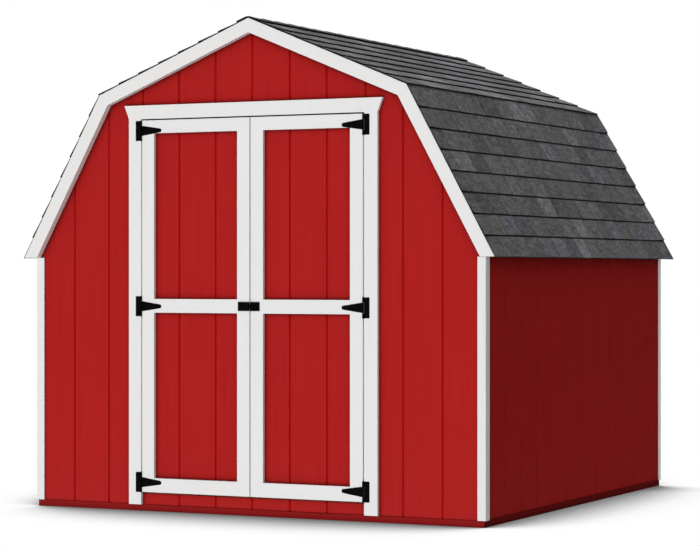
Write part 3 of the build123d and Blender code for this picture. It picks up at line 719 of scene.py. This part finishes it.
def roofing(node, right, upper, seed):
    rng = random.Random(seed)
    at = slope(right, upper)
    B = Build()
    total = UPPER_LEN if upper else LOWER_LEN
    starts = UPPER_COURSES + [UPPER_LEN - CAP_W[right] - 0.004] if upper else LOWER_COURSES
    under = 0.012
    for i, s0 in enumerate(starts):
        # width of the painted shade band just below the next course's butt
        band = 0.0068 if upper else 0.0030 if i == 7 else 0.0065
        s1 = starts[i + 1] if i < 7 else total
        hidden = upper and i == 7
        end = min(s1 + under, total + (0.0 if upper else 0.002))
        # lower layer, in shingle lengths
        y = -SHINGLE_Y
        cut = -SHINGLE_Y + rng.uniform(0.35, 0.98)
        while y < SHINGLE_Y - 1e-6:
            y1 = min(cut, SHINGLE_Y)
            if SHINGLE_Y - y1 < 0.12:
                y1 = SHINGLE_Y
            secs = []
            for rim in (y <= -SHINGLE_Y, y1 >= SHINGLE_Y):
                top = 0.0010 if rim else 0.0020 if hidden else 0.0034
                secs.append([(s0 + 0.0012, 0.0002), (s0 + 0.0012, top), (end, 0.0008 if rim else 0.0012), (end, 0.0002)])
            # painted shade: the lower layer is near black where it shows between the tabs, its ends darker still
            dark = grey(0.030)
            strip(B, at, y, y1 - (0.0008 if y1 < SHINGLE_Y else 0.0), secs[0], secs[1], [dark] * 4 + [grey(0.006)] * 2,
                  [rng.uniform(0, 9) for _ in range(3)])
            y, cut = y1, y1 + 0.985
        if hidden:
            continue
        # tabs
        y = -SHINGLE_Y
        first = True
        while y < SHINGLE_Y - 1e-6:
            w = rng.uniform(0.140, 0.205)
            if first:
                w *= rng.uniform(0.5, 1.0)
            y1 = min(y + w, SHINGLE_Y)
            last = SHINGLE_Y - y1 < 0.06
            if last:
                y1 = SHINGLE_Y
            c = tab_colour(rng)
            thick = (UPPER_THICK[i] if upper else 0.0059) + rng.uniform(-0.0004, 0.0006)
            ds = rng.uniform(-0.0008, 0.0008)
            lines = []
            for back, rim in enumerate((first, last)):
                t, top_h = thick + rng.uniform(-0.0003, 0.0003), 0.0025
                if rim:
                    # cut edges at the two rakes, lifted a little at the back
                    t, top_h = ((0.0080 if i == 0 else 0.0098, 0.0040) if upper
                                else (0.0018, 0.0010) if i == 0 else (0.0076, 0.0014))
                    lift = back * (0.0014 + 0.0003 * i if upper else 0.0038)
                    t, top_h = t + lift, top_h + lift

                def h_at(s, t=t, top_h=top_h, s0=s0, s1=s1):
                    return t + (top_h - t) * (s - s0) / (s1 - s0)

                lines.append([(s0 + ds, 0.0009 if rim else 0.0021), (s0 + ds, t - 0.0010), (s0 + ds + 0.0012, t),
                              (s1 - band, h_at(s1 - band)), (end, max(h_at(end), 0.0010 if rim else 0.0016)),
                              (end, 0.0006)])
            # painted shade: the butt faces at a tenth of the tab colour, the eased lip at 0.7, the tab sides at 0.30
            # and at the rakes 0.08, and a near-black band below the next course
            butt = tuple(v * 0.10 for v in c)
            lip = tuple(v * 0.7 for v in c)
            edges = [tuple(v * (0.08 if rim else 0.30) for v in c) for rim in (first, last)]
            shade = grey(0.009)
            gap = 0.0 if last else 0.0030
            strip(B, at, y, y1 - gap, lines[0], lines[1],
                  [butt, lip, c, shade, shade, shade] + edges, [rng.uniform(0, 9) for _ in range(3)])
            y = y1
            first = False
    return B.piece(node + "_made", [ASPHALT], node, "shingles")


roofing("shingles_lower_right", True, False, 101)
roofing("shingles_lower_left", False, False, 102)
roofing("shingles_upper_right", True, True, 103)
roofing("shingles_upper_left", False, True, 104)


def ridge(node, seed):
    rng = random.Random(seed)
    B = Build()
    step, full = 0.1385, 0.17
    y = -SHINGLE_Y - 0.0004
    run = UPPER_LEN
    ux, uz = KNEE[0] / run, (PEAK_Z - KNEE[1]) / run
    while y < SHINGLE_Y - 0.02:
        y1 = min(y + full, SHINGLE_Y + 0.0004)
        c = tab_colour(rng)
        h_front = (0.0104 if y < -SHINGLE_Y else 0.0115) + rng.uniform(-0.0003, 0.0004)
        h_back = h_front - (0.0030 * (y1 - y) / full if y1 < SHINGLE_Y else 0.0)
        cross = [rng.uniform(0.0, 0.0016) - CAP_W[False], -0.048, -0.032, -0.018, -0.006, 0.0, 0.006, 0.018, 0.032, 0.048,
                 CAP_W[True] - rng.uniform(0.0, 0.0016)]

        def p(u, yy, h):
            r = 0.008
            a = abs(u)
            z = PEAK_Z - uz * math.sqrt(a * a + r * r) + uz * r * 0.35
            return (math.copysign(1, u) * (ux * a + uz * h) if a > 0.02 else ux * u + uz * h * u / 0.02,
                    yy, z + ux * h)

        off = [rng.uniform(0, 9) for _ in range(3)]
        verts, grain = [], []
        sway = rng.uniform(-0.0008, 0.0008)
        low = 0.0024 + rng.uniform(-0.0002, 0.0002)
        secs = [(y, low), (y, h_front - 0.0009), (y + 0.0011, h_front), (y1, h_back), (y1, low)]
        n = len(cross)
        lim = SHINGLE_Y - 0.0002
        for yy, h in secs:
            for u in cross:
                verts.append(p(u, max(-lim, min(lim, yy + sway)), h))
                grain.append((u + off[0], yy + off[1], h + off[2]))
        # painted shade: each cap's front butt face at 0.15 of its colour, its two side edges at 0.05
        faces, tone = [], []
        m = len(secs)
        for r in range(m):
            q = (r + 1) % m
            for k in range(n - 1):
                faces.append([r * n + k, r * n + k + 1, q * n + k + 1, q * n + k])
                tone.append(tuple(v * (0.15 if r == 0 else 1.0) for v in c))
        faces += [[r * n for r in range(m)], [r * n + n - 1 for r in range(m)]]
        tone += [tuple(v * 0.05 for v in c)] * 2
        B.add(verts, faces, grain, tone)
        y += step
    return B.piece(node + "_made", [ASPHALT], node, "shingles")


ridge("ridge_cap", 105)


# ---------------------------------------------------------------------------
# trim, framing and sheet boards
# ---------------------------------------------------------------------------
# the eased edges of the corner boards are set 6% lighter
boards("corner_boards_end", WHITE, "white_trim", 0.0016, 2, 31, 0.012, 1.06)
boards("corner_boards_side", WHITE, "white_trim", 0.0016, 2, 32, 0.012, 1.06)


def joined(name, faces, verts, nodes, ease, lie, seed):
    """boards with caulked and painted joints, as one piece; lie gives the grain axis at a point"""
    rng = random.Random(seed)
    bm = bmesh.new()
    vs = [bm.verts.new(v) for v in verts]
    for f in faces:
        bm.faces.new([vs[i] for i in f])
    bmesh.ops.recalc_face_normals(bm, faces=bm.faces)
    sharp = [e for e in bm.edges if len(e.link_faces) == 2 and e.calc_face_angle(0.0) > 0.35]
    made = bmesh.ops.bevel(bm, geom=sharp, offset=ease, offset_type="OFFSET", segments=2, profile=0.5,
                           affect="EDGES", clamp_overlap=True)
    eased = {f for f in made["faces"] if f.is_valid}
    for f in bm.faces:
        f.smooth = f in eased
    flags = [f in eased for f in bm.faces]
    me = bpy.data.meshes.new(name)
    bm.to_mesh(me)
    bm.free()
    grain = np.zeros((len(me.loops), 3))
    offs = {}
    for p in me.polygons:
        key, axis = lie(p.center)
        if key not in offs:
            offs[key] = np.array([rng.uniform(0, 9) for _ in range(3)])
        a = Vector(axis).normalized()
        c = Vector((0, 1, 0))
        b = c.cross(a)
        for k in p.loop_indices:
            q = me.vertices[me.loops[k].vertex_index].co
            grain[k] = (q.dot(a), q.dot(b), q.y) + offs[key]
    ob = bpy.data.objects.new(name, me)
    # the eased edge faces are set 6% lighter than the flat faces
    dress(ob, [WHITE], grain, [grey(1.06 if w else 1.0) for w in flags])
    return place(ob, nodes, "white_trim")


def slab(outline, y0, y1):
    """faces of an outline in (x, z) given thickness in y"""
    n = len(outline)
    verts = [(x, y0, z) for x, z in outline] + [(x, y1, z) for x, z in outline]
    faces = [list(range(n)), list(range(n, 2 * n))[::-1]]
    faces += [[i, (i + 1) % n, n + (i + 1) % n, n + i] for i in range(n)]
    return faces, verts


LO = ((EAVE[0] - KNEE[0]) / LOWER_LEN, (EAVE[1] - KNEE[1]) / LOWER_LEN)
UP = (KNEE[0] / UPPER_LEN, (KNEE[1] - PEAK_Z) / UPPER_LEN)


def rake_line(d):
    """eave, knee and peak of the line d below the roof's outer line (right half)"""
    ax, az = UP[1] / UP[0], LO[1] / LO[0]
    kx = (KNEE[1] - az * KNEE[0] - d / LO[0] - PEAK_Z + d / UP[0]) / (ax - az)
    kz = PEAK_Z + ax * kx - d / UP[0]
    ex = KNEE[0] + (EAVE[1] + d / LO[0] - KNEE[1]) / az
    return (ex, EAVE[1]), (kx, kz), (0.0, PEAK_Z - d / UP[0])


def rake_lie(c):
    sx = 1 if c.x > 0 else -1
    low = c.z < KNEE[1] - 0.03
    d = LO if low else UP
    return (sx, low), (sx * d[0], 0, d[1])


oe, ok, op = rake_line(0.0)
ie, ik, ip = rake_line(0.065)
rake_outline = [(-oe[0], oe[1]), (-ok[0], ok[1]), op, ok, oe, ie, ik, ip, (-ik[0], ik[1]), (-ie[0], ie[1])]
joined("front_rake_boards_made", *slab(rake_outline, -1.2701, -1.2320), ["front_rake_boards"], 0.0020, rake_lie, 33)
joined("back_rake_boards_made", *slab(rake_outline, 1.2320, 1.2701), ["back_rake_boards"], 0.0020, rake_lie, 34)

CASE_IN, CASE_OUT, HEAD_LO, HEAD_HI, HEAD_OUT = 0.6126, 0.6830, 1.9380, 2.0060, 0.7086
case_outline = [(-CASE_OUT, 0.032), (-CASE_IN, 0.032), (-CASE_IN, HEAD_LO), (CASE_IN, HEAD_LO), (CASE_IN, 0.032),
                (CASE_OUT, 0.032), (CASE_OUT, HEAD_LO), (HEAD_OUT, HEAD_HI), (-HEAD_OUT, HEAD_HI), (-CASE_OUT, HEAD_LO)]
joined("door_casings_made", *slab(case_outline, TRIM_FACE, -1.2320), ["door_casings", "door_head_trim"], 0.0014,
       lambda c: (("head",), (1, 0, 0)) if c.z > HEAD_LO else ((c.x > 0,), (0, 0, 1)), 35)

DOOR_EDGE, DOOR_MEET = 0.6066, 0.00305
STILE_IN, MEET_IN = 0.5385, 0.0711
DOOR_Z = (0.0950, 0.1646, 0.9817, 1.0493, 1.8667, 1.9310)


def door_frame(side, sx, seed):
    """stiles and rails of one door; cells of the grid that are wood are filled"""
    xs = [sx * DOOR_EDGE, sx * STILE_IN, sx * MEET_IN, sx * DOOR_MEET]
    wood = {(i, j) for i in range(3) for j in range(5) if i != 1 or j in (0, 2, 4)}
    verts, faces, index = [], [], {}

    def v(i, j, back):
        if (i, j, back) not in index:
            index[i, j, back] = len(verts)
            verts.append((xs[i], -1.2320 if back else TRIM_FACE, DOOR_Z[j]))
        return index[i, j, back]

    for i, j in sorted(wood):
        ring = [(i, j), (i + 1, j), (i + 1, j + 1), (i, j + 1)]
        for back in (0, 1):
            faces.append([v(a, b, back) for a, b in ring])
        for (a, b), (c, d), nxt in zip(ring, ring[1:] + ring[:1], ((i, j - 1), (i + 1, j), (i, j + 1), (i - 1, j))):
            if nxt not in wood:
                faces.append([v(a, b, 0), v(c, d, 0), v(c, d, 1), v(a, b, 1)])

    def lie(c):
        if MEET_IN < abs(c.x) < STILE_IN:
            return ("rail", c.z < 0.5, c.z < 1.5), (1, 0, 0)
        return ("stile", abs(c.x) < 0.3), (0, 0, 1)

    joined(side + "_door_frame_made", faces, verts, [side + "_door_stiles", side + "_door_rails"], 0.0012, lie, seed)


door_frame("left", -1, 37)
door_frame("right", 1, 38)
# painted shade: the end base boards' sideways faces and the whole side base boards at 0.58 of their colour
boards("base_end_boards", BASE_RED, "base_paint", 0.002, 2, 45, 0.04, 0.9, ends=0.58)
boards("base_side_boards", BASE_RED, "base_paint", 0.002, 2, 46, 0.04, 0.9, level=0.58)
boards("eave_blocks", RED, "red_siding", 0.002, 2, 47, 0.03, 0.9, inner=PINE)
for i, n in enumerate(("floor_rims", "floor_joists", "side_sole_plates", "side_top_plates", "side_studs",
                       "end_sole_plates", "front_studs", "door_beam", "back_studs", "lower_rafters",
                       "upper_rafters")):
    boards(n, PINE, "framing_lumber", 0.003, 2, 51 + i, 0.10, 0.92)
for i, n in enumerate(("floor_deck", "truss_gussets")):
    boards(n, PLY, "plywood", 0.001, 1, 71 + i, 0.05, 0.9)
for i, n in enumerate(("sheathing_lower_left", "sheathing_lower_right", "sheathing_upper_left",
                       "sheathing_upper_right")):
    boards(n, STRAND, "plywood", 0.001, 1, 75 + i, 0.04, 0.9)


# ---------------------------------------------------------------------------
# hinges and latch
# ---------------------------------------------------------------------------
def barrel(B, x, z0, z1):
    r, e = KNUCKLE_R, 0.0006
    lathe(B, (x, PIN_Y, 0), (0, 0, 1), [(0, z0), (r - e, z0), (r, z0 + e), (r, z1 - e), (r - e, z1), (0, z1)], 24)


leaf_knuckle = (LEAF_H - STRAP_ROOT) / 2 - 0.001
leaf_edge = PIN_X + KNUCKLE_R + 0.001
B = Build()
for sx in (-1, 1):
    for z in HINGE_Z:
        front = TRIM_FACE - LEAF_T
        plate(B, round_rect(*sorted((sx * leaf_edge, sx * LEAF_OUT)), z - LEAF_H / 2, z + LEAF_H / 2, 0.0035),
              TRIM_FACE + 0.0002, front, 0.0008)
        for za in (z - LEAF_H / 2, z + LEAF_H / 2 - leaf_knuckle):
            plate(B, round_rect(*sorted((sx * PIN_X, sx * (leaf_edge + 0.004))), za, za + leaf_knuckle, 0.0008, 2),
                  TRIM_FACE + 0.0002, front - 0.0001, 0.0006)
            barrel(B, sx * PIN_X, za, za + leaf_knuckle)
        for end, sg in ((z + LEAF_H / 2, 1), (z - LEAF_H / 2, -1)):
            lathe(B, (sx * PIN_X, PIN_Y, end), (0, 0, sg),
                  [(0, -0.001), (0.0030, -0.001), (0.0030, 0.0004), (0.0024, 0.0013), (0.0012, 0.0018), (0, 0.0019)], 18)
        for dz, dx in ((0.036, 0.0205), (0.0, 0.0225), (-0.036, 0.0205)):
            screw(B, sx * (PIN_X + dx), front, z + dz)
B.piece("hinge_leaves_made", [IRON], "hinge_leaves", "black_iron")

for sx, node in ((-1, "left_door_straps"), (1, "right_door_straps")):
    B = Build()
    for z in HINGE_Z:
        front = TRIM_FACE - LEAF_T
        r = STRAP_TIP / 2
        cx = STRAP_END + r
        pts = [(sx * PIN_X, z - STRAP_ROOT / 2), (sx * PIN_X, z + STRAP_ROOT / 2)]
        pts += [(sx * (cx - r * math.sin(math.radians(a))), z + r * math.cos(math.radians(a)))
                for a in range(0, 181, 15)]
        plate(B, pts, TRIM_FACE + 0.0002, front, 0.0008)
        barrel(B, sx * PIN_X, z - STRAP_ROOT / 2, z + STRAP_ROOT / 2)
        for s, dz in ((0.026, 0.0125), (0.026, -0.0125), (0.056, 0.0), (0.098, 0.0)):
            screw(B, sx * (PIN_X - s), front, z + dz)
    B.piece(node + "_made", [IRON], node, "black_iron")

B = Build()
zc, zh = LATCH_Z, LATCH_H / 2
face = TRIM_FACE - LATCH_T
plate(B, round_rect(-LATCH_L, -LATCH_GAP, zc - zh, zc + zh, 0.0022), TRIM_FACE + 0.0002, face, 0.0009)
plate(B, round_rect(-0.0505, -LATCH_GAP - 0.0004, zc - 0.0112, zc + 0.0112, 0.0022), face + 0.001,
      face - 0.0052, 0.0018)
lathe(B, (-0.0578, face - 0.0008, 0), (0, 0, 1),
      [(0, zc - 0.0165), (0.0026, zc - 0.0165), (0.0032, zc - 0.0158), (0.0032, zc + 0.0158), (0.0026, zc + 0.0165),
       (0, zc + 0.0165)], 20)
for x in (-0.0445, -0.0125):
    for dz in (-0.0156, 0.0156):
        screw(B, x, face, zc + dz, 0.0031, 0.0011)
B.piece("latch_plate_made", [IRON], "latch_plate", "black_iron")

B = Build()
plate(B, round_rect(LATCH_GAP, LATCH_R, zc - zh, zc + zh, 0.0022), TRIM_FACE + 0.0002, face, 0.0009)
plate(B, round_rect(LATCH_GAP + 0.0004, 0.0400, zc - 0.0112, zc + 0.0112, 0.0022), face + 0.001,
      face - 0.0052, 0.0018)
knob = [(0.0150 + 0.0088 * math.cos(a), zc + 0.0088 * math.sin(a)) for a in
        (0, math.pi / 2, math.pi, 3 * math.pi / 2)]
plate(B, knob, face - 0.0045, face - 0.0095, 0.0018)
for x, dz in ((0.0125, 0.0156), (0.0125, -0.0156), (0.0465, 0.0120), (0.0465, -0.0120)):
    screw(B, x, face, zc + dz, 0.0031, 0.0011)
B.piece("latch_keeper_made", [IRON], "latch_keeper", "black_iron")


# ---------------------------------------------------------------------------
# floor, light, camera
# ---------------------------------------------------------------------------
scene = bpy.context.scene
me = bpy.data.meshes.new("studio_floor")
R = 60.0
me.from_pydata([(-R, -R, -0.0006), (R, -R, -0.0006), (R, R, -0.0006), (-R, R, -0.0006)], [], [[0, 1, 2, 3]])
floor = bpy.data.objects.new("studio_floor", me)
scene.collection.objects.link(floor)
fm, fnt, fb = material("studio_white")
fb.inputs["Base Color"].default_value = (0.0, 0.0, 0.0, 1)
fb.inputs["Roughness"].default_value = 0.9
fb.inputs["Specular IOR Level"].default_value = 0.0
# glowing evenly white, with a painted shadow from ambient occlusion where something stands close by
open_sky = nd(fnt, "ShaderNodeAmbientOcclusion", {"Distance": 1.3}, samples=24).outputs["AO"]
# the shade beside the two long walls is shallower than in front
where = nd(fnt, "ShaderNodeSeparateXYZ", {0: nd(fnt, "ShaderNodeTexCoord").outputs["Object"]})
beside = where.outputs[0]
open_sky = math_node(fnt, "ADD", open_sky, math_node(
    fnt, "ADD", span(fnt, beside, 0.0, 0.012, 1.05, 1.2236),
    span(fnt, math_node(fnt, "ABSOLUTE", beside, 0.0), 0.0, 0.070, 1.2236, 1.60)))
# and deeper near the back corners
open_sky = math_node(fnt, "ADD", open_sky, math_node(
    fnt, "ADD", span(fnt, where.outputs[1], 0.0, -0.065, 0.85, 1.10),
    span(fnt, where.outputs[1], 0.0, 0.065, 1.22, 1.40)))
fnt.links.new(ramp(fnt, open_sky, [(p, grey(v)) for p, v in (
    (0.500, 0.15), (0.537, 0.25), (0.574, 0.386), (0.611, 0.485), (0.647, 0.604), (0.683, 0.73), (0.719, 0.84),
    (0.753, 0.92), (0.800, 0.985), (0.840, 1.0))]), fb.inputs["Emission Color"])
fb.inputs["Emission Strength"].default_value = 1.0
me.materials.append(fm)
floor.visible_diffuse = False
floor.visible_glossy = False
floor.visible_shadow = False

world = bpy.data.worlds.new("studio")
scene.world = world
world.use_nodes = True
wt = world.node_tree
for n in list(wt.nodes):
    wt.nodes.remove(n)
coord = nd(wt, "ShaderNodeTexCoord").outputs["Generated"]
height = nd(wt, "ShaderNodeSeparateXYZ", {0: coord}).outputs[2]
level = span(wt, height, 0.103, 0.145, -0.35, 0.35)
# a large soft light in front and a weaker one behind
for aim, power, strength in (((0.0, -0.963, -0.225), 3.0, 2.176), ((-0.20, 0.970, -0.10), 3.0, 0.85)):
    facing = nd(wt, "ShaderNodeVectorMath", {0: coord, 1: Vector(aim).normalized()},
                operation="DOT_PRODUCT").outputs["Value"]
    lobe = math_node(wt, "POWER", math_node(wt, "MAXIMUM", facing, 0.0), power)
    level = nd(wt, "ShaderNodeMath", {0: lobe, 1: strength, 2: level}, operation="MULTIPLY_ADD").outputs[0]
soft = nd(wt, "ShaderNodeBackground", {"Color": (1, 1, 1, 1), "Strength": level})
plain = nd(wt, "ShaderNodeBackground", {"Color": (1, 1, 1, 1), "Strength": 1.0})
path = nd(wt, "ShaderNodeLightPath")
both = nd(wt, "ShaderNodeMixShader", {0: path.outputs["Is Camera Ray"], 1: soft.outputs[0], 2: plain.outputs[0]})
nd(wt, "ShaderNodeOutputWorld", {"Surface": both.outputs[0]})

top = bpy.data.lights.new("overhead", "SUN")
top.energy = math.pi * 1.38
top.angle = math.radians(28)
top_ob = bpy.data.objects.new("overhead", top)
top_ob.rotation_euler = Vector((0.105, -0.135, -0.985)).to_track_quat("-Z", "Y").to_euler()
scene.collection.objects.link(top_ob)

cam = bpy.data.cameras.new("camera")
cam.sensor_width = 36.0
cam.sensor_fit = "HORIZONTAL"
cam.lens = 2416.3972 * 36.0 / 700.0
cam.clip_start, cam.clip_end = 0.1, 400.0
cam.dof.use_dof = False
cam_ob = bpy.data.objects.new("camera", cam)
cam_ob.location = (5.590156, -11.520104, 1.186150)
cam_ob.rotation_euler = (math.radians(90.0 - 0.043), 0.0, math.radians(26.1896))
scene.collection.objects.link(cam_ob)
scene.camera = cam_ob

scene.view_settings.view_transform = "Standard"
scene.view_settings.look = "None"
scene.view_settings.exposure = 0.0
scene.view_settings.gamma = 1.0
